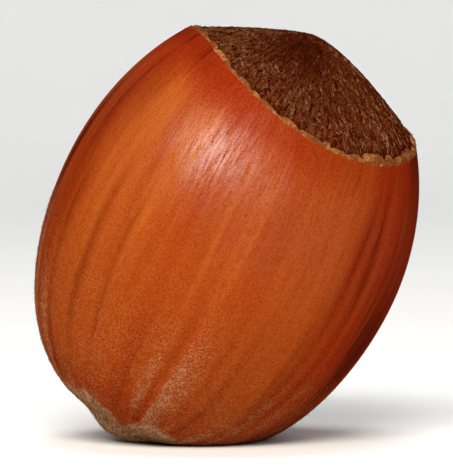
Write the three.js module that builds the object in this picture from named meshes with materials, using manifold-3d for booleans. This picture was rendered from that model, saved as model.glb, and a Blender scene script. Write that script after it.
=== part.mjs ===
// Hazelnut in its shell, out of its husk, leaning over on a small flat spot beside its tip.
// One grown body: the woody shell with its low lengthwise ribs, the peaked fibrous scar at the base, and
// the toothed edge of the shell round that scar.
// Millimetres, +Z up. The origin is on the surface below the middle of the nut.

import * as THREE from 'three';
import { ParametricGeometry } from 'three/addons/geometries/ParametricGeometry.js';
import { mergeVertices } from 'three/addons/utils/BufferGeometryUtils.js';
import Module from 'manifold-3d';

// The shell is an oval body. Its lengths are measured from its widest section.
const BROAD_HALF_WIDTH = 9.09;
const THIN_HALF_WIDTH = 8.45;
const TIP_LENGTH = 12.1;
const BASE_LENGTH = 11.98;
const TIP_ROUNDING = 0.88;
const BASE_ROUNDING = 1.05;
const SHOULDER_SKEW = 0.05;
const SLIM_SHOULDER = 69;

// The tip is a blunt point in a shallow hollow.
const HOLLOW_DEPTH = 0.85;
const HOLLOW_RADIUS = 4.76;
const POINT_HEIGHT = 0.66;
const POINT_RADIUS = 1.8;

// Ribs run from the tip to the scar, highest a quarter of the way up. One furrow runs up from the tip.
const RIB_HEIGHT = 0.06;
const RIB_WAVES = [
  { count: 5, shift: 20 },
  { count: 9, shift: 75 },
  { count: 14, shift: 140 },
  { count: 23, shift: 250 },
];
const FURROW_DEPTH = 0.24;
const FURROW_TURN = -15;
const FURROW_HALF_WIDTH = 3;
const FURROW_REACH = 0.55;

// The scar is a low peak, a little off the axis, inside an edge that is higher on two sides and tilts a little.
// On one side the edge dips, and the scar is fuller there.
const EDGE_HEIGHT = 7.37;
const EDGE_WAVE = 1.16;
const EDGE_TILT = 0.29;
const LOW_EDGE = -61;
const EDGE_DIP = 0.36;
const DIP_TURN = 77.3;
const DIP_HALF_WIDTH = 28;
const DIP_FULLNESS = 0.24;
const SCAR_PEAK = 3.38;
const SCAR_SLOPE = 1.18;
const SCAR_PEAK_ROUNDING = 0.05;
const PEAK_ASIDE = 0.55;
const PEAK_ASIDE_TURN = -110.7;
const FIBRE_HEIGHT = 0.04;
const FIBRE_COUNTS = [31, 53];

// The edge of the shell is broken into small teeth that lie on the scar.
const TOOTH_COUNT = 46;
const TOOTH_REACH = 0.4;
const TOOTH_GAP_REACH = 0.1;
const TOOTH_LIFT = 0.14;
const TOOTH_FACE = 0.15;
const TOOTH_UNEVENNESS = 0.3;
const TOOTH_VARIATION = 2.4;
const LONG_TEETH_TURN = 35;
const GROOVE_DEPTH = 0.12;
const GROOVE_WIDTH = 0.22;

// The nut leans over, and a flat spot below carries it.
const SPIN = 20.7;
const LEAN = 27.4;
const CENTRE_HEIGHT = 10.69;

// Columns round the nut, and rows from the tip to the edge, over the teeth and up the scar
const COLUMNS = 3 * TOOTH_COUNT;
const SHELL_ROWS = 24;
const EDGE_ROWS = [0.12, 0.24, 0.42, 0.62, 0.85];
const SCAR_ROWS = 8;
const ROWS = SHELL_ROWS + EDGE_ROWS.length + SCAR_ROWS;

const radians = THREE.MathUtils.degToRad;

// Distance from the axis, as a share of the widest section, on the base side of the nut
function baseShare(turn, climb) {
  const rounding = BASE_ROUNDING + SHOULDER_SKEW * Math.cos(turn - radians(SLIM_SHOULDER));
  return Math.cos(climb) ** rounding;
}

// A hump of height 1 round the nut, at a turn and with a half width in degrees
function hump(turn, middle, halfWidth) {
  const away = THREE.MathUtils.euclideanModulo(turn - radians(middle) + Math.PI, 2 * Math.PI) - Math.PI;
  return Math.exp(-((away / radians(halfWidth)) ** 2));
}

// Height of the shell's edge round the scar
function edgeHeight(turn) {
  const tilt = EDGE_TILT * Math.cos(turn - radians(LOW_EDGE));
  const dip = EDGE_DIP * hump(turn, DIP_TURN, DIP_HALF_WIDTH);
  return EDGE_HEIGHT - EDGE_WAVE * Math.cos(2 * turn) - tilt - dip;
}

// Angle above the widest section at which the shell ends
function edgeClimb(turn) {
  return Math.asin(edgeHeight(turn) / BASE_LENGTH);
}

// Distance of the shell's edge from the axis
function edgeRadius(turn) {
  return baseShare(turn, edgeClimb(turn)) * Math.hypot(
    BROAD_HALF_WIDTH * Math.sin(turn),
    THIN_HALF_WIDTH * Math.cos(turn),
  );
}

// How far the shell stands out from its smooth oval: along 0 is the tip and 1 the edge
function ribRelief(turn, along) {
  const fade = Math.sin(Math.PI * Math.sqrt(along));
  let relief = 0;
  for (const { count, shift } of RIB_WAVES) {
    relief += Math.cos(count * turn + radians(shift)) / RIB_WAVES.length;
  }
  const across = hump(turn, FURROW_TURN, FURROW_HALF_WIDTH);
  const furrow = FURROW_DEPTH * across * THREE.MathUtils.smoothstep(FURROW_REACH - along, 0, FURROW_REACH);
  return fade * (2 * RIB_HEIGHT * relief - furrow);
}

// A point at a share of the half widths, at a height above the widest section
function ovalPoint(turn, share, height, target) {
  target.set(
    share * BROAD_HALF_WIDTH * Math.sin(turn),
    -share * THIN_HALF_WIDTH * Math.cos(turn),
    height,
  );
}

// The shell from the tip, along 0, to its edge, along 1
function shellPoint(turn, along, target) {
  const climb = THREE.MathUtils.lerp(-Math.PI / 2, edgeClimb(turn), along);
  const relief = ribRelief(turn, along) / BROAD_HALF_WIDTH;
  if (climb >= 0) {
    const share = baseShare(turn, climb);
    ovalPoint(turn, share * (1 + relief), BASE_LENGTH * Math.sin(climb), target);
    return;
  }
  const share = Math.max(0, Math.cos(climb)) ** TIP_ROUNDING;
  const reach = share * THIN_HALF_WIDTH;
  const hollow = HOLLOW_DEPTH * Math.exp(-((reach / HOLLOW_RADIUS) ** 2));
  const point = POINT_HEIGHT * Math.exp(-((reach / POINT_RADIUS) ** 4));
  ovalPoint(turn, share * (1 + relief), TIP_LENGTH * Math.sin(climb) + hollow - point, target);
}

// How far the teeth reach in over the scar: whole teeth stand between narrow gaps
function toothReach(turn) {
  const tooth = Math.floor((turn / (2 * Math.PI)) * TOOTH_COUNT);
  const wave = 0.5 - 0.5 * Math.cos(TOOTH_COUNT * turn);
  const longTooth = Math.sin(TOOTH_VARIATION * tooth) + Math.cos(turn - radians(LONG_TEETH_TURN));
  const uneven = 1 + TOOTH_UNEVENNESS * longTooth;
  return THREE.MathUtils.lerp(TOOTH_GAP_REACH, TOOTH_REACH * uneven, wave);
}

// Teeth, the groove behind them and the lie of the fibres, as height above the smooth scar
function scarRelief(turn, inward, share) {
  const reach = toothReach(turn);
  const tooth = TOOTH_LIFT * (1 - THREE.MathUtils.smoothstep(inward, reach, reach + TOOTH_FACE));
  const groove = GROOVE_DEPTH * Math.exp(-(((inward - reach - GROOVE_WIDTH) / GROOVE_WIDTH) ** 2));
  let fibres = 0;
  for (const count of FIBRE_COUNTS) {
    fibres += FIBRE_HEIGHT * Math.cos(count * turn) * share;
  }
  const ramp = Math.min(1, inward / EDGE_ROWS[0]);
  return ramp * (tooth - groove + fibres);
}

// The scar at a distance in from the shell's edge, up to its peak
function scarPoint(turn, inward, target) {
  const edgeShare = baseShare(turn, edgeClimb(turn));
  const share = 1 - inward / edgeRadius(turn);
  const rounded = Math.hypot(share, SCAR_PEAK_ROUNDING) - SCAR_PEAK_ROUNDING;
  const steepness = SCAR_SLOPE + DIP_FULLNESS * hump(turn, DIP_TURN, DIP_HALF_WIDTH);
  const slope = (rounded / (Math.hypot(1, SCAR_PEAK_ROUNDING) - SCAR_PEAK_ROUNDING)) ** steepness;
  const height = THREE.MathUtils.lerp(EDGE_HEIGHT + SCAR_PEAK, edgeHeight(turn), slope);
  ovalPoint(turn, edgeShare * share, height + scarRelief(turn, inward, share), target);
  const aside = PEAK_ASIDE * (1 - share);
  target.x += aside * Math.sin(radians(PEAK_ASIDE_TURN));
  target.y -= aside * Math.cos(radians(PEAK_ASIDE_TURN));
}

// The whole surface: u goes round the nut and v from the tip to the peak of the scar
function nutPoint(u, v, target) {
  const turn = 2 * Math.PI * u;
  const row = Math.round(v * ROWS);
  const edgeRow = row - SHELL_ROWS;
  const scarRow = edgeRow - EDGE_ROWS.length;
  if (edgeRow <= 0) {
    shellPoint(turn, row / SHELL_ROWS, target);
  } else if (scarRow <= 0) {
    scarPoint(turn, EDGE_ROWS[edgeRow - 1], target);
  } else {
    scarPoint(turn, THREE.MathUtils.lerp(EDGE_ROWS.at(-1), edgeRadius(turn), scarRow / SCAR_ROWS), target);
  }
}

const wasm = await Module();
wasm.setup();

// A closed solid from a geometry, with its shared corners merged
function solidOf(geometry) {
  geometry.deleteAttribute('normal');
  geometry.deleteAttribute('uv');
  const merged = mergeVertices(geometry);
  return new wasm.Manifold(new wasm.Mesh({
    numProp: 3,
    vertProperties: merged.attributes.position.array,
    triVerts: merged.index.array,
  }));
}

// A geometry from a closed solid
function geometryOf(solid) {
  const { vertProperties, triVerts } = solid.getMesh();
  const geometry = new THREE.BufferGeometry();
  geometry.setAttribute('position', new THREE.BufferAttribute(vertProperties, 3));
  geometry.setIndex(new THREE.BufferAttribute(triVerts, 1));
  geometry.computeVertexNormals();
  return geometry;
}

// The upright nut is spun about its axis, leaned over, lifted and cut off level with the surface.
function hazelnutGeometry() {
  const nut = new ParametricGeometry(nutPoint, COLUMNS, ROWS);
  nut.rotateZ(radians(SPIN));
  nut.rotateY(radians(LEAN));
  nut.translate(0, 0, CENTRE_HEIGHT);
  const side = 4 * BASE_LENGTH;
  const below = new THREE.BoxGeometry(side, side, side);
  below.translate(0, 0, -side / 2);
  const geometry = geometryOf(solidOf(nut).subtract(solidOf(below)));
  geometry.computeBoundingBox();
  const middle = geometry.boundingBox.getCenter(new THREE.Vector3());
  geometry.translate(-middle.x, -middle.y, 0);
  return geometry;
}

const shellMaterial = new THREE.MeshStandardMaterial({ color: 0xb4501a, roughness: 0.38, metalness: 0 });
const hazelnut = new THREE.Mesh(hazelnutGeometry(), shellMaterial);
hazelnut.name = 'hazelnut';

const part = new THREE.Group();
part.add(hazelnut);

export default part;
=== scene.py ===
import math
import bpy
import numpy as np
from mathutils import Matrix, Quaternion, Vector


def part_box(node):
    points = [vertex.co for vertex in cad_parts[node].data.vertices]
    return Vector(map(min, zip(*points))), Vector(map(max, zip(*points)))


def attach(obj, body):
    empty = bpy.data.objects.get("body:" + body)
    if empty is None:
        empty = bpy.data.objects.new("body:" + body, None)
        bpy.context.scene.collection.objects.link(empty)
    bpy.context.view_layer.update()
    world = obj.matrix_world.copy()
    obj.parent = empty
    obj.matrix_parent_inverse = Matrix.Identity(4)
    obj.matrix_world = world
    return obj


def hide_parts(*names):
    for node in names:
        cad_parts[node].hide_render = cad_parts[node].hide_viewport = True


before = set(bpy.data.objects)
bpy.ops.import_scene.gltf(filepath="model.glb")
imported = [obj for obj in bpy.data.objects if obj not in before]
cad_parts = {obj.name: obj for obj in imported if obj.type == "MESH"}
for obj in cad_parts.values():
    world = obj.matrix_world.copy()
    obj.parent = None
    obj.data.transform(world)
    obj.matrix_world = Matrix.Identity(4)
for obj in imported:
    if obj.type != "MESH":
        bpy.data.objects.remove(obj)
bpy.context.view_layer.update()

# The nut in its shell: one grown body. The shell is hard brown wood with low ribs from the tip to the base,
# the scar at the base is a low felted peak where the husk let go, and the broken edge of the shell lies on
# the scar in small pale teeth. It rests on a flat spot beside its tip.

# Sizes are in millimetres. The shell is an oval body, measured from its widest section.
MM = 0.001
BROAD_HALF_WIDTH = 9.09
THIN_HALF_WIDTH = 8.45
TIP_LENGTH = 12.1
BASE_LENGTH = 11.98
TIP_ROUNDING = 0.88
BASE_ROUNDING = 1.05
SHOULDER_SKEW = 0.05
SLIM_SHOULDER = math.radians(69)

# The tip is a blunt point in a shallow hollow.
HOLLOW_DEPTH = 0.85
HOLLOW_RADIUS = 4.76
POINT_HEIGHT = 0.66
POINT_RADIUS = 1.8
POINT_BLUNTNESS = 4

# Ribs run from the tip to the scar, given by waves round the nut and degrees of shift.
# One furrow climbs from the tip.
RIB_HEIGHT = 0.06
RIB_WAVES = ((5, 20), (9, 75), (14, 140), (23, 250))
FURROW_DEPTH = 0.24
FURROW_TURN = math.radians(-15)
FURROW_HALF_WIDTH = math.radians(3)
FURROW_REACH = 0.55

# The scar is a low peak, a little off the axis, inside an edge that waves, tilts and dips on one side.
EDGE_HEIGHT = 7.37
EDGE_WAVE = 1.16
EDGE_TILT = 0.29
LOW_EDGE = math.radians(-61)
EDGE_DIP = 0.36
DIP_TURN = math.radians(77.3)
DIP_HALF_WIDTH = math.radians(28)
DIP_FULLNESS = 0.24
SCAR_PEAK = 3.38
SCAR_SLOPE = 1.18
SCAR_PEAK_ROUNDING = 0.05
PEAK_ASIDE = 0.55
PEAK_ASIDE_TURN = math.radians(-110.7)
TANGLE_WAVES = 48
TUFT_RISE = 0.034

# The teeth are long on one side and beads on another, uneven and a little out of step.
TOOTH_COUNT = 46
TOOTH_REACH = 0.34
LONG_TOOTH_REACH = 0.5
TOOTH_GAP_REACH = 0.045
TOOTH_LIFT = 0.13
TOOTH_FACE = 0.09
TOOTH_SWAYS = ((0.04, 9, 0), (0.02, 23, 1))
TOOTH_BUNCHING = 0.1
TOOTH_GAP = 0.3
TOOTH_BLUNTNESS = 0.85
LEAST_TOOTH = 0.3
LEAST_BEAD = 0.15
BEAD_CONTRAST = 1.5
LONG_TEETH_TURN = math.radians(50)
BEADED_TEETH_TURN = math.radians(-100)
SIDE_NARROWING = 4
GROOVE_DEPTH = 0.12
GROOVE_WIDTH = 0.22
EDGE_EASE = 0.12

# The nut leans over, and a flat spot below carries it.
SPIN = math.radians(20.7)
LEAN = math.radians(27.4)
CENTRE_HEIGHT = 10.69
FLAT_SOFTNESS = 0.12

# Columns round the nut, and rows up the shell, over the teeth and up the scar
COLUMNS = 448
SHELL_ROWS = 130
EDGE_ROWS = 22
EDGE_BAND = 0.95
SCAR_ROWS = 52


def smoothstep(value, low, high):
    share = np.clip((value - low) / (high - low), 0, 1)
    return share * share * (3 - 2 * share)


def bell(away, half_width):
    return np.exp(-(away / half_width) ** 2)


def hump(turn, middle, half_width):
    away = (turn - middle + np.pi) % (2 * np.pi) - np.pi
    return bell(away, half_width)


# 1 at the middle of one side of the nut and 0 on the far side
def facing(turn, middle):
    return 0.5 + 0.5 * np.cos(turn - middle)


def edge_height(turn):
    tilt = EDGE_TILT * np.cos(turn - LOW_EDGE)
    dip = EDGE_DIP * hump(turn, DIP_TURN, DIP_HALF_WIDTH)
    return EDGE_HEIGHT - EDGE_WAVE * np.cos(2 * turn) - tilt - dip


def edge_climb(turn):
    return np.arcsin(edge_height(turn) / BASE_LENGTH)


def base_share(turn, climb):
    return np.cos(climb) ** (BASE_ROUNDING + SHOULDER_SKEW * np.cos(turn - SLIM_SHOULDER))


def edge_radius(turn):
    across = np.hypot(BROAD_HALF_WIDTH * np.sin(turn), THIN_HALF_WIDTH * np.cos(turn))
    return base_share(turn, edge_climb(turn)) * across


def oval(turn, share, height):
    x = share * BROAD_HALF_WIDTH * np.sin(turn)
    y = -share * THIN_HALF_WIDTH * np.cos(turn)
    return np.stack([x, y, height + 0 * x], -1)


# How far the shell stands out from its smooth oval: along 0 is the tip and 1 the edge
def rib_relief(turn, along):
    fade = np.sin(np.pi * np.sqrt(along))
    ribs = sum(np.cos(count * turn + math.radians(shift)) for count, shift in RIB_WAVES) / len(RIB_WAVES)
    across = hump(turn, FURROW_TURN, FURROW_HALF_WIDTH)
    furrow = FURROW_DEPTH * across * smoothstep(FURROW_REACH - along, 0, FURROW_REACH)
    return fade * (2 * RIB_HEIGHT * ribs - furrow)


def shell_points(turn, along):
    climb = -np.pi / 2 + along * (edge_climb(turn) + np.pi / 2)
    cosine = np.maximum(np.cos(climb), 0)
    low = climb < 0
    share = np.where(low, cosine ** TIP_ROUNDING, base_share(turn, np.maximum(climb, 0)))
    reach = share * THIN_HALF_WIDTH
    hollow = HOLLOW_DEPTH * bell(reach, HOLLOW_RADIUS)
    point = POINT_HEIGHT * np.exp(-(reach / POINT_RADIUS) ** POINT_BLUNTNESS)
    tip_side = TIP_LENGTH * np.sin(climb) + hollow - point
    height = np.where(low, tip_side, BASE_LENGTH * np.sin(climb))
    return oval(turn, share * (1 + rib_relief(turn, along) / BROAD_HALF_WIDTH), height)


tooth_sizes = np.random.default_rng(3).uniform(0.0, 1.0, TOOTH_COUNT)


# How far the edge of the shell reaches in over the scar
def tooth_reach(turn):
    wander = turn + sum(sway * np.sin(waves * turn + start) for sway, waves, start in TOOTH_SWAYS)
    count = wander / (2 * np.pi) * TOOTH_COUNT
    count = count + TOOTH_BUNCHING * np.sin(2 * np.pi * count)
    size = tooth_sizes[np.floor(count).astype(int) % TOOTH_COUNT]
    long_side = facing(turn, LONG_TEETH_TURN) ** SIDE_NARROWING
    beaded_side = facing(turn, BEADED_TEETH_TURN) ** SIDE_NARROWING
    beads = TOOTH_REACH * (LEAST_BEAD + (1 - LEAST_BEAD) * beaded_side) * size ** BEAD_CONTRAST
    teeth = LONG_TOOTH_REACH * long_side * (LEAST_TOOTH + (1 - LEAST_TOOTH) * size)
    lobe = (1 + TOOTH_GAP) * np.abs(np.sin(np.pi * count)) - TOOTH_GAP
    lobe = np.clip(lobe, 0, 1) ** TOOTH_BLUNTNESS
    return TOOTH_GAP_REACH * (1 + long_side) + (beads + teeth) * lobe


# A field of crossing waves over the scar: they run round it and in towards its peak
def tangle(turn, inward, seed, fewest, most, run):
    draw = np.random.default_rng(seed)
    counts = draw.integers(fewest, most, TANGLE_WAVES)
    runs = draw.normal(0, run, TANGLE_WAVES)
    starts = draw.uniform(0, 2 * np.pi, TANGLE_WAVES)
    waves = (np.cos(count * turn + way * inward + start) for count, way, start in zip(counts, runs, starts))
    return sum(waves) / math.sqrt(TANGLE_WAVES / 2)


# The scar at a distance in from the shell's edge, with its teeth, the groove behind them and low tufts
def scar_points(turn, inward):
    share = 1 - inward / edge_radius(turn)
    rounded = np.hypot(share, SCAR_PEAK_ROUNDING) - SCAR_PEAK_ROUNDING
    steepness = SCAR_SLOPE + DIP_FULLNESS * hump(turn, DIP_TURN, DIP_HALF_WIDTH)
    slope = (rounded / (math.hypot(1, SCAR_PEAK_ROUNDING) - SCAR_PEAK_ROUNDING)) ** steepness
    peak = EDGE_HEIGHT + SCAR_PEAK
    height = peak + (edge_height(turn) - peak) * slope
    reach = tooth_reach(turn)
    tooth = TOOTH_LIFT * (1 - smoothstep(inward, reach, reach + TOOTH_FACE))
    groove = GROOVE_DEPTH * bell(inward - reach - GROOVE_WIDTH, GROOVE_WIDTH)
    tufts = TUFT_RISE * tangle(turn, inward, seed=2, fewest=12, most=150, run=9)
    felted = tufts * share * (1 - tooth / TOOTH_LIFT)
    relief = np.minimum(1, inward / EDGE_EASE) * (tooth - groove + felted)
    points = oval(turn, base_share(turn, edge_climb(turn)) * share, height + relief)
    aside = PEAK_ASIDE * (1 - share)
    aside_x = aside * math.sin(PEAK_ASIDE_TURN)
    aside_y = -aside * math.cos(PEAK_ASIDE_TURN)
    return points + np.stack([aside_x, aside_y, 0 * aside], -1)


# The upright nut is spun about its axis, leaned over, lifted and levelled off at the surface.
def stand(points):
    x, y, z = points[..., 0], points[..., 1], points[..., 2]
    spun_x = x * math.cos(SPIN) - y * math.sin(SPIN)
    spun_y = x * math.sin(SPIN) + y * math.cos(SPIN)
    up = z * math.cos(LEAN) - spun_x * math.sin(LEAN) + CENTRE_HEIGHT
    up = (up + np.hypot(up, FLAT_SOFTNESS)) / 2
    return np.stack([spun_x * math.cos(LEAN) + z * math.sin(LEAN), spun_y, up], -1)


turn = np.linspace(0, 2 * np.pi, COLUMNS, endpoint=False)[None, :]
along = np.linspace(0, 1, SHELL_ROWS + 1)[1:, None]
inward_band = np.linspace(0, EDGE_BAND, EDGE_ROWS + 1)[1:, None] + 0 * turn
way_up = np.linspace(0, 1, SCAR_ROWS + 1)[1:-1, None]
inward_scar = EDGE_BAND + way_up * (edge_radius(turn) - EDGE_BAND)
inward = np.concatenate([inward_band, inward_scar])
shell_rows = shell_points(turn, along)
scar_rows = scar_points(turn, inward)
tip = shell_points(np.zeros((1, 1)), np.zeros((1, 1)))
peak = scar_points(np.zeros((1, 1)), edge_radius(np.zeros((1, 1))))
points = np.concatenate([part.reshape(-1, 3) for part in (tip, shell_rows, scar_rows, peak)])
placed = stand(points)
low, high = placed.min(0), placed.max(0)
cad_low, cad_high = (np.array(corner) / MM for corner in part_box("hazelnut"))
shift = (cad_low + cad_high) / 2 - (low + high) / 2
shift[2] = 0


def place(points):
    return (stand(points) + shift) * MM


def ring_faces(rows, columns, first):
    row = np.arange(rows - 1)[:, None] * columns + first
    column = np.arange(columns)[None, :]
    beside = (column + 1) % columns
    corners = [row + column, row + beside, row + columns + beside, row + columns + column]
    return np.stack(corners, -1).reshape(-1, 4)


def make_piece(name, vertices, faces, attributes):
    mesh = bpy.data.meshes.new(name)
    mesh.from_pydata([tuple(v) for v in vertices], [], [tuple(int(i) for i in f) for f in faces])
    for label, values in attributes.items():
        kind = "FLOAT_VECTOR" if values.ndim == 2 else "FLOAT"
        layer = mesh.attributes.new(label, kind, "POINT")
        layer.data.foreach_set("vector" if values.ndim == 2 else "value", values.astype(np.float32).ravel())
    mesh.polygons.foreach_set("use_smooth", [True] * len(mesh.polygons))
    mesh.update()
    piece = bpy.data.objects.new(name, mesh)
    bpy.context.scene.collection.objects.link(piece)
    return piece


rows = SHELL_ROWS + len(inward)
last = 1 + rows * COLUMNS
around = np.arange(COLUMNS)
beside = (around + 1) % COLUMNS
top_row = last - COLUMNS
faces = [(0, 1 + b, 1 + a) for a, b in zip(around, beside)]
faces += list(ring_faces(rows, COLUMNS, 1))
faces += [(top_row + a, top_row + b, last) for a, b in zip(around, beside)]

# Where each point lies: degrees round from the viewer's side, to the right
azimuth = np.degrees((turn + SPIN + np.pi) % (2 * np.pi) - np.pi)
rightward = np.sin(np.radians(azimuth))


def over_nut(on_shell, on_scar):
    shell_part = (on_shell + 0 * along * turn).reshape(-1)
    scar_part = (on_scar + 0 * inward).reshape(-1)
    return np.concatenate([shell_part[:1], shell_part, scar_part, scar_part[-1:]])


# Streaks spread a little from the viewer's side towards the tip. They waver: degrees, waves along and round.
STREAK_SPREAD = 5.7
SPREAD_FROM = 0.9
STREAK_WAVERS = ((0.6, 8, 3), (0.35, 19, 7))
spread = STREAK_SPREAD * (SPREAD_FROM - along) * rightward
waver = sum(sway * np.sin(up * along + np.radians(rounds * azimuth)) for sway, up, rounds in STREAK_WAVERS)
lie = azimuth - spread + waver


def apart(at):
    return (lie - at + 180) % 360 - 180


# 1 over a stretch of the shell, with a soft start and a soft stop
def stretch(start, full, fade, stop):
    return smoothstep(along, start, full) * (1 - smoothstep(along, fade, stop))


# Dark stripes: degrees round, half width, depth, and the stretch of the shell that each runs along.
# Most are the shell's own. The broad ones at the left edge (-92, -76, -63) and the one at 73 with half
# width 15 are painted shade where the sides turn from the light; those at 79 and 95 are partly stripe,
# partly painted shade; the one at 2.6 is the painted shadow in the furrow.
STRIPES_AND_SHADE = (
    (-92, 9, 0.7, 0.45, 1.3), (-76, 9, 0.6, 0.3, 1.3), (-63, 8, 0.6, 0.25, 1.3), (-55.5, 3.0, 0.6, 0.1, 0.8),
    (-57, 13, 0.52, 0.74, 1.4), (-40.5, 2.6, 0.56, 0.2, 0.85), (-36, 1.0, 0.3, 0.5, 0.80),
    (-29, 2.4, 0.42, 0.2, 0.8), (-20, 1.0, 0.4, 0.42, 0.8), (-12, 4.5, 0.5, 0.1, 0.65),
    (-6, 1.2, 0.3, 0.5, 0.9), (-5, 4, 0.45, 0.02, 0.42), (-3, 0.8, 0.25, 0.8, 1.1), (2, 0.8, 0.3, 0.76, 1.1),
    (2.6, 2.0, 0.5, 0.1, 0.7), (5.6, 0.7, 0.25, 0.78, 1.1), (9, 0.8, 0.25, 0.7, 1.0),
    (12.6, 0.9, 0.25, 0.74, 1.1), (17, 2.0, 0.45, 0.2, 0.7), (20, 1.6, 0.2, 0.62, 1.1),
    (24.5, 2.6, 0.45, 0.05, 0.75), (31, 0.8, 0.25, 0.6, 1.0), (41, 1.6, 0.4, 0.2, 0.8),
    (45, 3.0, 0.55, 0.2, 1.1), (51.5, 2.6, 0.62, 0.25, 1.3), (58, 1.6, 0.5, 0.25, 0.9),
    (63.5, 2.4, 0.62, 0.3, 1.3), (69.5, 3.6, 0.72, 0.3, 1.3), (79, 6, 0.7, 0.3, 1.3),
    (73, 15, 0.7, 0.12, 1.3), (95, 4, 0.5, 0.2, 1.3),
)
STRIPE_FADE = 0.2
START_SPREAD = 0.06
WEAVE_DEGREES = (0.3, 0.9)
WEAVE_WAVES = (4, 10)
PULSE = 0.15
PULSE_WAVES = (8, 16)
WAVE_STARTS = (0, 6)
stain_and_shade = 0 * lie
stripe_draw = np.random.default_rng(4)
for at, half_width, depth, start, stop in STRIPES_AND_SHADE:
    weave = stripe_draw.uniform(*WEAVE_DEGREES)
    weave = weave * np.sin(stripe_draw.uniform(*WEAVE_WAVES) * along + stripe_draw.uniform(*WAVE_STARTS))
    pulse = PULSE * np.sin(stripe_draw.uniform(*PULSE_WAVES) * along + stripe_draw.uniform(*WAVE_STARTS))
    start = start + stripe_draw.uniform(-START_SPREAD, START_SPREAD)
    run = stretch(start, start + STRIPE_FADE, stop - STRIPE_FADE, stop)
    stain_and_shade = np.maximum(stain_and_shade, depth * (1 - PULSE + pulse) * bell(apart(at) + weave, half_width) * run)

# A burnt ring above the down of the tip, deeper on the left, and a stain along the edge round the scar
BURNT_RING = (0.17, 0.23, 0.25, 0.38)
BURNT_DEPTH = 0.25
BURNT_SHARE = 0.65
EDGE_STAIN = (0.88, 0.98)
EDGE_STAIN_DEPTH = 0.35
LEFT_EDGE_STAIN = 0.24
LEFT_SIDE = (10, 60)
CLEAN_SIDE = (80, 120)
burnt = stretch(*BURNT_RING) * (BURNT_SHARE - (1 - BURNT_SHARE) * rightward)
stain_and_shade = np.maximum(stain_and_shade, BURNT_DEPTH * burnt)
edge_stain = EDGE_STAIN_DEPTH + LEFT_EDGE_STAIN * smoothstep(-azimuth, *LEFT_SIDE)
edge_stain = edge_stain * smoothstep(along, *EDGE_STAIN) * (1 - smoothstep(azimuth, *CLEAN_SIDE))
stain_and_shade = np.maximum(stain_and_shade, edge_stain)

# Stripes of the far side: degrees round from first to last, and ranges for the rest
BACK_STRIPES = np.arange(104, 262, 6.5)
BACK_HALF_WIDTH = (0.8, 4)
BACK_DEPTH = (0.2, 0.7)
BACK_START = (0.15, 0.5)
BACK_SPREAD = 3
back_stripes = np.random.default_rng(7)
for at in BACK_STRIPES:
    half_width = back_stripes.uniform(*BACK_HALF_WIDTH)
    depth = back_stripes.uniform(*BACK_DEPTH)
    start = back_stripes.uniform(*BACK_START)
    run = smoothstep(along, start, start + STRIPE_FADE)
    away = apart(at + back_stripes.uniform(-BACK_SPREAD, BACK_SPREAD))
    stain_and_shade = np.maximum(stain_and_shade, depth * bell(away, half_width) * run)

# Lighter bands, and redder ones: degrees round, half width, strength
BANDS = (
    (-47, 6, 0.7), (-39, 5, 0.35), (-31, 6, 0.45), (-23, 5, 0.6), (-3, 5, 0.5), (9, 7, 0.35), (21, 6, 0.4),
    (34, 6, 0.25), (120, 10, 0.6), (160, 7, 0.5), (205, 12, 0.6), (245, 8, 0.5),
)
RED_BANDS = (
    (-68, 12, 0.4), (-12, 10, 0.2), (8, 12, 0.28), (50, 7, 0.75), (60, 10, 0.85), (78, 14, 0.9),
    (100, 12, 0.6), (140, 9, 0.5), (182, 10, 0.6), (225, 10, 0.5), (262, 12, 0.6),
)
GLOW_RISE = (0.3, 0.74)
GLOW_FADE = (0.88, 1.0)
GLOW_LOSS = 0.8
RED_EDGE = (0.86, 0.98)
RED_EDGE_TURN = math.radians(-75)
RED_EDGE_SIDE = (0.2, 0.8)
LEAST_RED_EDGE = 0.35
RED_RING = (0.14, 0.2, 0.25, 0.4)
RED_RING_DEPTH = 0.5
glow = 0 * lie
for at, half_width, strength in BANDS:
    glow = glow + strength * bell(apart(at), half_width)
glow = glow * smoothstep(along, *GLOW_RISE) * (1 - GLOW_LOSS * smoothstep(along, *GLOW_FADE))
red = 0 * lie
for at, half_width, strength in RED_BANDS:
    red = np.maximum(red, strength * bell(apart(at), half_width))
red_side = smoothstep(np.cos(np.radians(azimuth) - RED_EDGE_TURN), *RED_EDGE_SIDE)
red = red + (LEAST_RED_EDGE + (1 - LEAST_RED_EDGE) * red_side) * smoothstep(along, *RED_EDGE)
red = red + RED_RING_DEPTH * stretch(*RED_RING)

# Down: a cap round the tip. Its edge has waves, given by depth, count and start, and a notch and a bulge,
# given by depth, degrees round and half width.
DOWN_CAP = (0.175, 0.245)
CAP_WAVES = ((0.012, 7, 40), (0.010, 16, 0))
CAP_BENDS = ((0.06, -8, 6), (-0.03, 18, 14))
cap_edge = along
for depth, waves, start in CAP_WAVES:
    cap_edge = cap_edge + depth * np.cos(np.radians(waves * azimuth + start))
for depth, at, half_width in CAP_BENDS:
    cap_edge = cap_edge + depth * bell(azimuth - at, half_width)
down = 1 - smoothstep(cap_edge, *DOWN_CAP)

# Rays of down climb from the cap: degrees round, half width, reach, strength
RAYS = (
    (-86, 7, 0.78, 0.66), (-74, 6, 0.75, 0.7), (-61, 5, 0.66, 0.58), (-45, 6, 0.5, 0.45),
    (-26, 6, 0.48, 0.45), (-2, 4, 0.64, 0.6), (20, 4, 0.5, 0.46), (36, 5, 0.55, 0.6), (46, 4, 0.66, 0.62),
    (57, 5, 0.68, 0.64), (70, 5, 0.66, 0.66), (110, 5, 0.5, 0.6), (140, 4, 0.42, 0.6), (170, 6, 0.55, 0.7),
    (200, 4, 0.4, 0.6), (230, 6, 0.5, 0.6), (255, 5, 0.5, 0.6),
)
RAY_FADE = 0.3
for at, half_width, reach, strength in RAYS:
    ray = strength * bell(apart(at), half_width) * (1 - smoothstep(along, reach - RAY_FADE, reach))
    down = np.maximum(down, ray)
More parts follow.
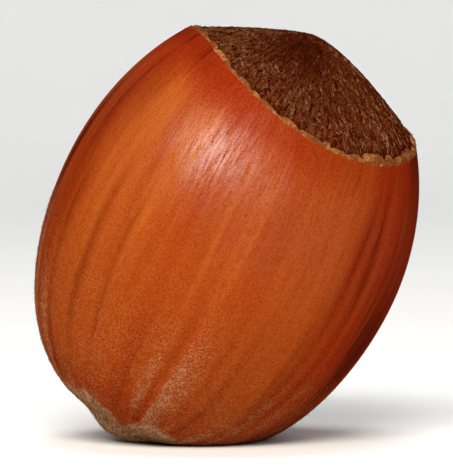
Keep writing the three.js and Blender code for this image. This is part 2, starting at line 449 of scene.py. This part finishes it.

# The broadest ray starts sharply at the furrow. The shell beside it is bare, and a thin scatter lies above.
# On the dark side, at the viewer's right, the pale down is thinned higher up: painted shade where that side
# turns from the light.
FURROW_RAY_AT = 6.0
FURROW_RAY_RIGHT = 10.5
FURROW_RAY_LEFT = 1.0
FURROW_RAY_STRENGTH = 0.74
FURROW_RAY_FADE = (0.36, 0.7)
BARE_AT = -5
BARE_HALF_WIDTH = 5
BARE_RING = (0.1, 0.16, 0.22, 0.30)
BARE_SHARE = 0.8
SCATTER = 0.25
SCATTER_FADE = (0.4, 0.68)
DARK_SIDE_AT = 82
DARK_SIDE_HALF_WIDTH = 30
DARK_SIDE_BARE = (0.48, 0.62)
DARK_SIDE_LOSS = 0.9
beyond = apart(FURROW_RAY_AT)
furrow_ray = bell(np.maximum(beyond, 0), FURROW_RAY_RIGHT) * bell(np.minimum(beyond, 0), FURROW_RAY_LEFT)
furrow_ray = FURROW_RAY_STRENGTH * furrow_ray * (1 - smoothstep(along, *FURROW_RAY_FADE))
down = np.maximum(down, furrow_ray)
down = down * (1 - BARE_SHARE * bell(apart(BARE_AT), BARE_HALF_WIDTH) * stretch(*BARE_RING))
down = np.maximum(down, SCATTER * (1 - smoothstep(along, *SCATTER_FADE)))
dark_side = bell(azimuth - DARK_SIDE_AT, DARK_SIDE_HALF_WIDTH)
down = down * (1 - DARK_SIDE_LOSS * dark_side * smoothstep(along, *DARK_SIDE_BARE))

# The felt is darkest on the viewer's side of its peak and behind the long teeth, and redder on that side.
# It is a little darker where it turns away at the viewer's right.
PEAK_SHADE = 0.8
PEAK_SHADE_RADIUS = 0.33
PEAK_SHADE_ASIDE = 0.32
PEAK_SHADE_TURN = math.radians(-15)
NOTCH_SHADE = 0.9
NOTCH_WIDTH = 0.35
FAR_SHADE = 0.28
FAR_SHADE_AT = math.radians(100)
FAR_SHADE_NARROWING = 6


def scar_ruddy(turn):
    return facing(turn, LONG_TEETH_TURN)


def scar_shade(turn, inward):
    share = 1 - inward / edge_radius(turn)
    spot = PEAK_SHADE_ASIDE * np.exp(1j * PEAK_SHADE_TURN)
    from_spot = np.abs(share * np.exp(1j * (turn + SPIN)) - spot)
    peak_shade = PEAK_SHADE * bell(from_spot, PEAK_SHADE_RADIUS)
    notch_shade = NOTCH_SHADE * bell(inward - tooth_reach(turn), NOTCH_WIDTH) * scar_ruddy(turn)
    far_shade = FAR_SHADE * facing(turn + SPIN, FAR_SHADE_AT) ** FAR_SHADE_NARROWING
    return np.maximum(np.maximum(peak_shade, notch_shade), far_shade)


# The polish fades towards the edge, sooner at the viewer's left, and is thin where the right turns away.
POLISH_FADE = (0.85, 0.96)
POLISH_FADE_SHIFT = 0.05
POLISH_LOSS = 0.75
THIN_POLISH_AT = 38
THIN_POLISH_HALF_WIDTH = 26
THIN_POLISH_LOSS = 0.7
polish = 1 - POLISH_LOSS * smoothstep(along - POLISH_FADE_SHIFT * rightward, *POLISH_FADE)
polish = polish * (1 - dark_side)
polish = polish * (1 - THIN_POLISH_LOSS * bell(azimuth - THIN_POLISH_AT, THIN_POLISH_HALF_WIDTH))

# The grain is a cylinder's coordinates: the streaks run along it, over a length from the tip to the edge.
GRAIN_LENGTH = 26.0
edge_reach = tooth_reach(turn)
tooth = 1 - smoothstep(inward, edge_reach, edge_reach + TOOTH_FACE)
grain = np.stack([
    over_nut(BROAD_HALF_WIDTH * np.cos(np.radians(lie)), BROAD_HALF_WIDTH * np.cos(turn)),
    over_nut(BROAD_HALF_WIDTH * np.sin(np.radians(lie)), BROAD_HALF_WIDTH * np.sin(turn)),
    over_nut(GRAIN_LENGTH * along, GRAIN_LENGTH + inward),
], -1)
nut = make_piece("nut", place(points), faces, {
    "grain": grain,
    "along": over_nut(along, 1.0),
    "inward": over_nut(0.0, inward),
    "tooth": over_nut(0.0, tooth),
    "stain_and_shade": over_nut(stain_and_shade, 0.0),
    "glow": over_nut(glow, 0.0),
    "red": over_nut(red, 0.0),
    "down": over_nut(down, 0.0),
    "side_shade": over_nut(dark_side, 1.0),
    "polish": over_nut(polish, 0.0),
    "shade": over_nut(0.0, scar_shade(turn, inward)),
    "ruddy": over_nut(0.0, scar_ruddy(turn)),
})


class Shade:
    """A socket of a finish. Sums of shades and numbers add their nodes to the same finish."""

    def __init__(self, socket):
        self.socket = socket

    def node(self, kind, settings, inputs, output=0):
        tree = self.socket.id_data
        made = tree.nodes.new(kind)
        for name, value in settings.items():
            setattr(made, name, value)
        for name, value in inputs.items():
            if isinstance(value, Shade):
                tree.links.new(value.socket, made.inputs[name])
            else:
                made.inputs[name].default_value = value
        return Shade(made.outputs[output])

    def math(self, operation, first, second):
        return self.node("ShaderNodeMath", {"operation": operation}, {0: first, 1: second})

    def __add__(self, other):
        return self.math("ADD", self, other)

    def __radd__(self, other):
        return self.math("ADD", other, self)

    def __sub__(self, other):
        return self.math("SUBTRACT", self, other)

    def __rsub__(self, other):
        return self.math("SUBTRACT", other, self)

    def __mul__(self, other):
        return self.math("MULTIPLY", self, other)

    def __rmul__(self, other):
        return self.math("MULTIPLY", other, self)

    def attribute(self, name, output="Fac"):
        return self.node("ShaderNodeAttribute", {"attribute_name": name}, {}, output)

    def position(self):
        return self.node("ShaderNodeTexCoord", {}, {}, "Object")

    def ramp(self, low, high):
        inputs = {"Value": self, "From Min": low, "From Max": high}
        return self.node("ShaderNodeMapRange", {"interpolation_type": "SMOOTHSTEP"}, inputs)

    def stretched(self, factors):
        return self.node("ShaderNodeVectorMath", {"operation": "MULTIPLY"}, {0: self, 1: factors})

    def noise(self, factors, detail):
        inputs = {"Vector": self.stretched(factors), "Scale": 1.0, "Detail": detail, "Roughness": 0.6}
        return self.node("ShaderNodeTexNoise", {}, inputs)

    def streaks(self, across, lengthwise, detail):
        return self.noise((across, across, lengthwise), detail)

    def specks(self, per_metre, detail):
        return self.noise((per_metre, per_metre, per_metre), detail)

    # A noise turned into a sway to either side of zero
    def sway(self, strength):
        return (self - 0.5) * strength

    def mix(self, under, over):
        return self.node("ShaderNodeMix", {"data_type": "RGBA"}, {0: self, 6: under, 7: over}, 2)

    def bump(self, height, strength, distance):
        inputs = {"Strength": strength, "Distance": distance, "Height": height}
        return self.node("ShaderNodeBump", {}, inputs)

    def feed(self, **sockets):
        tree = self.socket.id_data
        for name, value in sockets.items():
            tree.links.new(value.socket, self.socket.node.inputs[name.replace("_", " ")])


def new_finish(name, settings):
    material = bpy.data.materials.new(name)
    material.use_nodes = True
    surface = material.node_tree.nodes["Principled BSDF"]
    for socket, value in settings.items():
        surface.inputs[socket].default_value = value
    return material, Shade(surface.outputs[0])


ORANGE = (0.240, 0.0368, 0.0041, 1)
LIGHT_ORANGE = (0.330, 0.0781, 0.0114, 1)
RED = (0.225, 0.0180, 0.0019, 1)
# Also the colour of the painted shade on the sides and of the painted shadow in the furrow
STRIPE_AND_SHADE_BROWN = (0.115, 0.0068, 0.0008, 1)
DARK_BROWN = (0.045, 0.0034, 0.0007, 1)
DUST = (0.310, 0.1200, 0.0340, 1)
TAN_DOWN = (0.450, 0.2600, 0.1350, 1)
BROWN_DOWN = (0.130, 0.0570, 0.0230, 1)
SHADED_SCURF_BROWN = (0.190, 0.0720, 0.0125, 1)
PALE_TOOTH = (0.330, 0.1400, 0.0480, 1)
TOOTH_SHADE = (0.120, 0.0300, 0.0070, 1)
FELT_DARK = (0.022, 0.0014, 0.0002, 1)
FELT_BROWN = (0.102, 0.0330, 0.0090, 1)
FELT_RED = (0.134, 0.0300, 0.0083, 1)

shell_finish, shell = new_finish("nut_shell", {"IOR": 1.03, "Coat IOR": 1.5, "Coat Roughness": 0.31})
grain_lie = shell.attribute("grain", "Vector")
position = shell.position()
way = shell.attribute("along")
down_mask = shell.attribute("down")
side_shade = shell.attribute("side_shade")
on_scar = shell.attribute("inward").ramp(0.0, 0.05)
broad_streak = grain_lie.streaks(across=0.55, lengthwise=0.035, detail=3.0)
middle_streak = grain_lie.streaks(across=1.3, lengthwise=0.07, detail=3.0)
fine_streak = grain_lie.streaks(across=2.8, lengthwise=0.14, detail=4.0)
hair_streak = grain_lie.streaks(across=12.0, lengthwise=0.9, detail=3.0)
ripple = grain_lie.streaks(across=6.0, lengthwise=0.8, detail=2.0)
blotch = grain_lie.streaks(across=0.9, lengthwise=0.35, detail=3.0)
speckle = position.specks(per_metre=12000.0, detail=2.0)
patch = position.specks(per_metre=1500.0, detail=3.0)
crumb = position.specks(per_metre=4000.0, detail=2.0)

# The wood: orange with lighter bands, redder ones and dark stripes. The stripe mix also lays on the
# painted shade of the sides and the painted shadow in the furrow.
light_band = shell.attribute("glow") * 0.8 + broad_streak.sway(1.0) + middle_streak.sway(1.4)
woody = light_band.ramp(0.0, 1.0).mix(ORANGE, LIGHT_ORANGE)
red_mask = shell.attribute("red")
red_share = (red_mask + fine_streak.sway(1.4) + blotch.sway(0.7)).ramp(-0.1, 1.0)
woody = red_share.mix(woody, RED)
stripe_and_shade_share = shell.attribute("stain_and_shade") * (0.6 + 0.8 * fine_streak)
stripe_and_shade_share = (stripe_and_shade_share + middle_streak.ramp(0.5, 0.75) * 0.2).ramp(0.0, 1.0)
woody = stripe_and_shade_share.mix(woody, STRIPE_AND_SHADE_BROWN)
woody = stripe_and_shade_share.ramp(0.5, 1.0).mix(woody, DARK_BROWN)

# Dust and dark pores over all of it, and the scurf of the down. On the dark side, at the viewer's right,
# the dust is thinned and the scurf is made browner: painted shade.
dots = speckle.ramp(0.42, 0.66) * (1.0 - 0.4 * way.ramp(0.45, 0.85)) * (1.0 - 0.95 * stripe_and_shade_share)
dots = dots * (0.3 + 1.4 * fine_streak) * (1.0 - 0.9 * side_shade * way.ramp(0.48, 0.62))
dust_share = dots * (0.26 + down_mask.ramp(0.0, 0.5) * 0.4) * patch.ramp(0.2, 0.6)
woody = dust_share.mix(woody, DUST)
woody = ((1.0 - speckle.ramp(0.32, 0.52)) * 0.26).mix(woody, DARK_BROWN)
down_share = down_mask * 1.2 + speckle.sway(1.0) + patch.sway(0.5) + crumb.sway(0.4)
down_share = (down_share - 0.35).ramp(0.0, 0.9)
downy = (hair_streak * 0.25 + speckle * 0.35 + crumb * 0.4).ramp(0.40, 0.58).mix(BROWN_DOWN, TAN_DOWN)
downy = (side_shade.ramp(0.1, 0.7) * 0.85).mix(downy, SHADED_SCURF_BROWN)
woody = (down_share * (0.9 - 0.38 * way.ramp(0.2, 0.36))).mix(woody, downy)

# The scar under its fibres, and the pale teeth with brown patches, worn a little back over the edge
felt_streak = grain_lie.streaks(across=5.0, lengthwise=1.6, detail=4.0)
felt_speck = position.specks(per_metre=9000.0, detail=3.0)
felt = shell.attribute("ruddy").mix(FELT_BROWN, FELT_RED)
felt = (felt_streak * 0.5 + felt_speck * 0.5).ramp(0.40, 0.62).mix(FELT_DARK, felt)
felt = shell.attribute("shade").mix(felt, FELT_DARK)
toothed = (felt_speck * 0.6 + felt_streak * 0.4).ramp(0.36, 0.62).mix(TOOTH_SHADE, PALE_TOOTH)
toothed = (patch.ramp(0.40, 0.58) * 0.8).mix(toothed, TOOTH_SHADE)
rim_wave = grain_lie.streaks(across=2.2, lengthwise=0.3, detail=3.0)
worn_rim = (way + rim_wave.sway(0.012)).ramp(0.998, 0.9995)
scar_colour = shell.attribute("tooth").ramp(0.2, 0.9).mix(felt, toothed)

# The polish lies on the shoulder, between the stripes, and is broken up by the grain
POLISH_STRENGTH = 1.1
WOOD_ROUGHNESS = 0.5
ROUGHER_GRAIN = 0.2
ROUGHER_SCAR = 0.2
RELIEF_STRENGTH = 0.5
RELIEF_HEIGHT = 0.12 * MM
gloss = way.ramp(0.65, 0.86) * (1.0 - stripe_and_shade_share) * (1.0 - on_scar)
gloss = gloss * (1.0 - 0.6 * red_mask.ramp(0.4, 1.0)) * shell.attribute("polish")
broken = (ripple * 0.5 + hair_streak * 0.25 + speckle * 0.25).ramp(0.34, 0.66)
relief = fine_streak * 0.4 + ripple * 0.3 + hair_streak * 0.25 + speckle * 0.25 + felt_speck * on_scar * 1.5
shell.feed(
    Base_Color=on_scar.mix(worn_rim.mix(woody, toothed), scar_colour),
    Roughness=WOOD_ROUGHNESS + ROUGHER_GRAIN * fine_streak + ROUGHER_SCAR * on_scar,
    Coat_Weight=gloss * broken * POLISH_STRENGTH,
    Normal=shell.bump(relief, RELIEF_STRENGTH, RELIEF_HEIGHT),
)
nut.data.materials.append(shell_finish)
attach(nut, "root")
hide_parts("hazelnut")

# The felt of the scar: thousands of short dry fibres in two layers that lie from the peak down to the edge,
# in tangled tufts. They are the torn ends of the vessels that fed the nut, and grow out of the scar itself.

# Fibres lie in locks. Headings and curls are in radians, and spreads are of a normal draw.
FELT_LOCKS = 1150
LOCK_STRANDS = 5
FELT_AREA = (0.002, 0.95)
COMBED_SHARE = 0.6
HEADING_TANGLE = 0.7
HEADING_SPREAD = 0.4
CURL_SPREAD = 0.75
WAVE_SPREAD = 0.45
SHORTEST_SHARE = 0.5
LEAST_RISE_SHARE = 0.2
MIDDLE_TONE = 0.5
TONE_TANGLE = 0.26
TONE_SPREAD = 0.28

# Each strand departs a little from its lock, bows up from the scar and ends short of the teeth.
FELT_STEPS = 6
FELT_TAPER = np.array([0.7, 1.0, 1.0, 1.0, 0.8, 0.5])
FELT_BOW = np.array([-0.3, 0.6, 1.0, 1.0, 0.8, 0.4])
STRAND_HEADING_SPREAD = 0.12
STRAND_CURL_SPREAD = 0.4
STRAND_LENGTH = (0.7, 1.0)
STRAND_BESIDE = 0.03
STRAND_START = 0.05
STRAND_RISE = (0.7, 1.1)
STRAND_RADIUS = (0.012, 0.025)
STRAND_TONE_SPREAD = 0.1
SHADE_DEPTH = 0.75
NEAREST_LOCK_TO_AXIS = 0.4
NEAREST_STEP_TO_AXIS = 0.25
STOP_STEP = 0.03
STEP_DROP = 0.0004
NORMAL_STEP = 0.002
STRAND_CORNERS = np.radians((90, 210, 330))
STRAND_POINT = 0.6
FELT_TAN = (0.220, 0.1080, 0.0520, 1)


def upward(surface, first, second):
    across = surface(first + NORMAL_STEP, second) - surface(first - NORMAL_STEP, second)
    along_it = surface(first, second + NORMAL_STEP) - surface(first, second - NORMAL_STEP)
    normal = np.cross(across, along_it)
    return normal / np.linalg.norm(normal, axis=-1, keepdims=True)


# Three-sided strands along paths, each closed at its root and pointed at its end
def strand_piece(name, path, normal, radius, taper, marks):
    count, steps = path.shape[:2]
    run = np.gradient(path, axis=1)
    side = np.cross(run, normal)
    side = side / np.linalg.norm(side, axis=-1, keepdims=True)
    rise = np.cross(side, run)
    rise = rise / np.linalg.norm(rise, axis=-1, keepdims=True)
    thick = (radius[:, None] * taper[None, :])[..., None]
    ring = [path + thick * (math.cos(a) * side + math.sin(a) * rise) for a in STRAND_CORNERS]
    rings = np.stack(ring, 2).reshape(count, 3 * steps, 3)
    ends = (path[:, -1] + (path[:, -1] - path[:, -2]) * STRAND_POINT)[:, None]
    vertices = np.concatenate([rings, ends], 1).reshape(-1, 3)
    one = [(0, 1, 2)]
    for step in range(steps - 1):
        for corner in range(3):
            a, b = 3 * step + corner, 3 * step + (corner + 1) % 3
            one.append((a, a + 3, b + 3, b))
    tip_point = 3 * steps
    for corner in range(3):
        a, b = tip_point - 3 + corner, tip_point - 3 + (corner + 1) % 3
        one.append((a, tip_point, b))
    size = tip_point + 1
    faces = [tuple(i + size * k for i in face) for k in range(count) for face in one]
    over_strand = {
        label: np.concatenate([np.repeat(mark, 3, axis=1), mark[:, -1:]], 1).ravel()
        for label, mark in marks.items()
    }
    return make_piece(name, place(vertices), faces, over_strand)


felt_finish, fibre = new_finish("scar_fibre", {"Roughness": 0.8, "IOR": 1.05})
fibre_dust = fibre.position().specks(per_metre=2500.0, detail=2.0)
fibre_depth = fibre.attribute("tone") * (0.6 + 0.8 * fibre_dust)
fibre_colour = fibre.attribute("ruddy").mix(FELT_BROWN, FELT_RED)
fibre_colour = fibre_depth.ramp(0.14, 0.62).mix(FELT_DARK, fibre_colour)
fibre.feed(Base_Color=fibre_depth.ramp(0.35, 1.0).mix(fibre_colour, FELT_TAN))


def felt_layer(name, seed, longest, lift, tone_low, tone_high):
    draw = np.random.default_rng(seed)
    lock_turn = draw.uniform(0, 2 * np.pi, FELT_LOCKS)
    lock_share = np.sqrt(draw.uniform(*FELT_AREA, FELT_LOCKS))
    lock_radius = lock_share * edge_radius(lock_turn)
    lock_in = edge_radius(lock_turn) - lock_radius
    heading_tangle = HEADING_TANGLE * tangle(lock_turn, lock_in, seed=6, fewest=3, most=24, run=2.5)
    lock_heading = heading_tangle + draw.normal(0, HEADING_SPREAD, FELT_LOCKS)
    lock_heading = lock_heading * (1 - COMBED_SHARE * scar_ruddy(lock_turn))
    lock_curl = draw.normal(0, CURL_SPREAD, FELT_LOCKS)
    lock_wave = draw.normal(0, WAVE_SPREAD, FELT_LOCKS)
    lock_length = draw.uniform(SHORTEST_SHARE * longest, longest, FELT_LOCKS)
    lock_rise = draw.uniform(LEAST_RISE_SHARE * lift, lift, FELT_LOCKS)
    tone_tangle = TONE_TANGLE * tangle(lock_turn, lock_in, seed=8, fewest=10, most=110, run=4)
    lock_tone = MIDDLE_TONE + tone_tangle + draw.normal(0, TONE_SPREAD, FELT_LOCKS)
    lock = np.repeat(np.arange(FELT_LOCKS), LOCK_STRANDS)
    strands = len(lock)
    heading = lock_heading[lock] + draw.normal(0, STRAND_HEADING_SPREAD, strands)
    curl = lock_curl[lock] + draw.normal(0, STRAND_CURL_SPREAD, strands)
    step_length = lock_length[lock] * draw.uniform(*STRAND_LENGTH, strands) / FELT_STEPS
    beside = draw.normal(0, STRAND_BESIDE, strands)
    lie_turn = [lock_turn[lock] + beside / np.maximum(lock_radius[lock], NEAREST_LOCK_TO_AXIS)]
    lie_in = [lock_in[lock] + draw.normal(0, STRAND_START, strands)]
    for step in range(1, FELT_STEPS):
        share = step / FELT_STEPS
        way_on = heading + curl * (share - 0.5) + lock_wave[lock] * math.sin(2 * math.pi * share)
        radius_here = np.maximum(edge_radius(lie_turn[-1]) - lie_in[-1], NEAREST_STEP_TO_AXIS)
        stop_at = tooth_reach(lie_turn[-1]) + STOP_STEP * (FELT_STEPS - step)
        lie_in.append(np.maximum(lie_in[-1] - step_length * np.cos(way_on), stop_at))
        lie_turn.append(lie_turn[-1] + step_length * np.sin(way_on) / radius_here)
    lie_turn = np.stack(lie_turn, 1)
    lie_in = np.stack(lie_in, 1)
    up = -upward(scar_points, lie_turn, lie_in)
    height = (lock_rise[lock] * draw.uniform(*STRAND_RISE, strands))[:, None] * FELT_BOW
    path = scar_points(lie_turn, lie_in) + up * height[..., None]
    path = path - np.array([0, 0, STEP_DROP]) * np.arange(FELT_STEPS)[None, :, None]
    radius = draw.uniform(*STRAND_RADIUS, strands)
    tone = np.clip(lock_tone[lock] + draw.normal(0, STRAND_TONE_SPREAD, strands), 0, 1)
    tone = tone_low + (tone_high - tone_low) * tone
    tone = tone[:, None] * (1 - SHADE_DEPTH * scar_shade(lie_turn, lie_in))
    marks = {"tone": tone, "ruddy": scar_ruddy(lie_turn)}
    layer = strand_piece(name, path, up, radius, FELT_TAPER, marks)
    layer.data.materials.append(felt_finish)
    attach(layer, "root")


felt_layer("scar_felt_under", seed=11, longest=1.1, lift=0.05, tone_low=0.0, tone_high=0.9)
felt_layer("scar_felt_over", seed=12, longest=1.8, lift=0.09, tone_low=0.1, tone_high=1.1)

# The down of the tip: fine short hairs, close to the shell and pointing to the tip, thickest round it and
# thinning out along the rays that climb from it. They grow from the skin of the shell.

# Hairs are tried all over the lower shell and kept where the down is thick and the nut clears the surface.
DOWN_TRIES = 60000
DOWN_STRETCH = (0.03, 0.6)
DOWN_CONTRAST = 1.5
DOWN_SPARSENESS = 0.85
DOWN_CLEARANCE = 0.25
HAIR_TAPER = np.array([1.0, 0.7])
HAIR_LENGTH = (0.08, 0.22)
HAIR_SHARE = 0.6
HAIR_ROOT = 0.01
HAIR_RISE = (0.15, 0.6)
HAIR_SWING = 0.4
HAIR_RADIUS = (0.005, 0.009)
TO_TIP_STEP = 0.004
down_draw = np.random.default_rng(5)
hair_turn = down_draw.uniform(0, 2 * np.pi, DOWN_TRIES)
hair_along = down_draw.uniform(*DOWN_STRETCH, DOWN_TRIES)
hair_column = (hair_turn / (2 * np.pi) * COLUMNS).astype(int) % COLUMNS
hair_row = np.clip((hair_along * SHELL_ROWS).astype(int) - 1, 0, SHELL_ROWS - 1)
crowd = down[hair_row, hair_column] ** DOWN_CONTRAST * np.sin(np.pi * np.minimum(0.5, hair_along))
clear = stand(shell_points(hair_turn, hair_along))[:, 2] > DOWN_CLEARANCE
kept = (down_draw.uniform(0, DOWN_SPARSENESS, DOWN_TRIES) < crowd) & clear
hair_turn, hair_along = hair_turn[kept], hair_along[kept]
hairs = len(hair_turn)
hair_length = HAIR_SHARE * down_draw.uniform(*HAIR_LENGTH, hairs)[:, None]
hair_root = shell_points(hair_turn, hair_along)
hair_up = upward(shell_points, hair_turn, hair_along)
to_tip = shell_points(hair_turn, hair_along - TO_TIP_STEP) - hair_root
to_tip = to_tip / np.linalg.norm(to_tip, axis=-1, keepdims=True)
sideways = np.cross(hair_up, to_tip)
rise = down_draw.uniform(*HAIR_RISE, hairs)[:, None]
swing = down_draw.normal(0, HAIR_SWING, hairs)[:, None]
hair_way = to_tip + swing * sideways + rise * hair_up
hair_way = hair_way / np.linalg.norm(hair_way, axis=-1, keepdims=True)
hair_path = np.stack([hair_root - HAIR_ROOT * hair_up, hair_root + hair_length * hair_way], 1)
hair_radius = down_draw.uniform(*HAIR_RADIUS, hairs)
hair_tone = down_draw.uniform(0, 1, hairs)
hair_normals = np.stack([hair_up, hair_up], 1)
hair_marks = {"tone": np.stack([hair_tone, hair_tone], 1)}
tip_down = strand_piece("tip_down", hair_path, hair_normals, hair_radius, HAIR_TAPER, hair_marks)
down_finish, downy_hair = new_finish("down_hair", {"Roughness": 0.8, "IOR": 1.1})
hair_shade = downy_hair.position().specks(per_metre=900.0, detail=2.0)
downy_hair.feed(Base_Color=(downy_hair.attribute("tone") * (0.5 + hair_shade)).mix(BROWN_DOWN, DUST))
tip_down.data.materials.append(down_finish)
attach(tip_down, "root")

# The studio: a pale sweep that the nut stands on, soft lights and the camera. None of it is part of the nut.
# The sweep is paper that bends up behind, and the camera looks from just above the table, from far off.

# Sizes of the studio are in metres.
SWEEP_HALF_WIDTH = 0.9
SWEEP_FRONT = -0.6
SWEEP_BEND = 0.25
SWEEP_RADIUS = 0.2
SWEEP_TOP = 0.9
BEND_STEPS = 15
PALE_PAPER = (0.86, 0.90, 0.94, 1)
PAPER_SHADE = (0.82, 0.86, 0.90, 1)
bend = np.radians(np.linspace(0, 90, BEND_STEPS + 1))
profile = [(SWEEP_FRONT, 0.0)]
profile += [(SWEEP_BEND + SWEEP_RADIUS * math.sin(a), SWEEP_RADIUS * (1 - math.cos(a))) for a in bend]
profile += [(SWEEP_BEND + SWEEP_RADIUS, SWEEP_TOP)]
sweep_points = [(side * SWEEP_HALF_WIDTH, y, z) for y, z in profile for side in (-1, 1)]
sweep_faces = [(2 * i, 2 * i + 1, 2 * i + 3, 2 * i + 2) for i in range(len(profile) - 1)]
sweep = make_piece("sweep", sweep_points, sweep_faces, {})
sweep_finish, paper = new_finish("sweep_paper", {"Roughness": 0.9})
paper_grain = paper.position().specks(per_metre=40.0, detail=2.0)
paper.feed(Base_Color=paper_grain.mix(PAPER_SHADE, PALE_PAPER))
sweep.data.materials.append(sweep_finish)
sweep.visible_glossy = False

ROOM_COLOUR = (1.0, 0.95, 0.90, 1)
ROOM_STRENGTH = 0.05
world = bpy.data.worlds.new("studio")
world.use_nodes = True
room = world.node_tree.nodes["Background"]
room.inputs["Color"].default_value = ROOM_COLOUR
room.inputs["Strength"].default_value = ROOM_STRENGTH
bpy.context.scene.world = world
bpy.context.scene.view_settings.view_transform = "Standard"

centre = Vector(shift) * MM + Vector((0, 0, CENTRE_HEIGHT * MM))


def soft_light(name, source, target, colour, power, width, height, roll=0):
    lamp = bpy.data.lights.new(name, "AREA")
    lamp.shape = "ELLIPSE"
    lamp.size = width
    lamp.size_y = height
    lamp.energy = power
    lamp.color = colour
    holder = bpy.data.objects.new(name, lamp)
    holder.location = source
    facing_target = (target - source).to_track_quat("-Z", "Y")
    holder.rotation_euler = (facing_target @ Quaternion((0, 0, 1), roll)).to_euler()
    bpy.context.scene.collection.objects.link(holder)


KEY_PLACE = centre + Vector((-0.042, -0.237, 0.18))
KEY_COLOUR = (1.0, 0.91, 0.80)
SPILL_PLACE = KEY_PLACE + Vector((0.04, 0, 0))
BACKDROP_PLACE = Vector((0, 0.05, 0.6))
BACKDROP_TARGET = Vector((0, 0.45, 0.12))
BACKDROP_COLOUR = (1.0, 0.97, 0.93)
soft_light("key", KEY_PLACE, centre, KEY_COLOUR, power=0.98, width=0.2, height=0.12)
soft_light("key_spill", SPILL_PLACE, centre, KEY_COLOUR, power=0.80, width=0.5, height=0.2, roll=-LEAN)
soft_light("backdrop", BACKDROP_PLACE, BACKDROP_TARGET, BACKDROP_COLOUR, power=1.9, width=0.3, height=0.3)

# The camera keeps the photo's scale, and the nut's centre stands where it stands in the photo.
PHOTO_WIDTH = 453
PHOTO_HEIGHT = 476
PIXELS_PER_MM = 19.76
VIEW_DISTANCE = 220 * MM
VIEW_ELEVATION = math.radians(3.0)
CENTRE_ACROSS_PHOTO = 229.53
CENTRE_DOWN_PHOTO = 230.38
NEAREST_SEEN = 0.01
camera = bpy.data.cameras.new("camera")
camera.lens = camera.sensor_width * PIXELS_PER_MM * VIEW_DISTANCE / MM / PHOTO_HEIGHT
camera.clip_start = NEAREST_SEEN
viewer = bpy.data.objects.new("camera", camera)
view_forward = Vector((0, math.cos(VIEW_ELEVATION), -math.sin(VIEW_ELEVATION)))
view_up = Vector((0, math.sin(VIEW_ELEVATION), math.cos(VIEW_ELEVATION)))
left_by = (CENTRE_ACROSS_PHOTO - PHOTO_WIDTH / 2) / PIXELS_PER_MM * MM
down_by = (PHOTO_HEIGHT / 2 - CENTRE_DOWN_PHOTO) / PIXELS_PER_MM * MM
viewer.location = centre - view_forward * VIEW_DISTANCE - Vector((left_by, 0, 0)) - view_up * down_by
viewer.rotation_euler = view_forward.to_track_quat("-Z", "Y").to_euler()
bpy.context.scene.collection.objects.link(viewer)
bpy.context.scene.camera = viewer
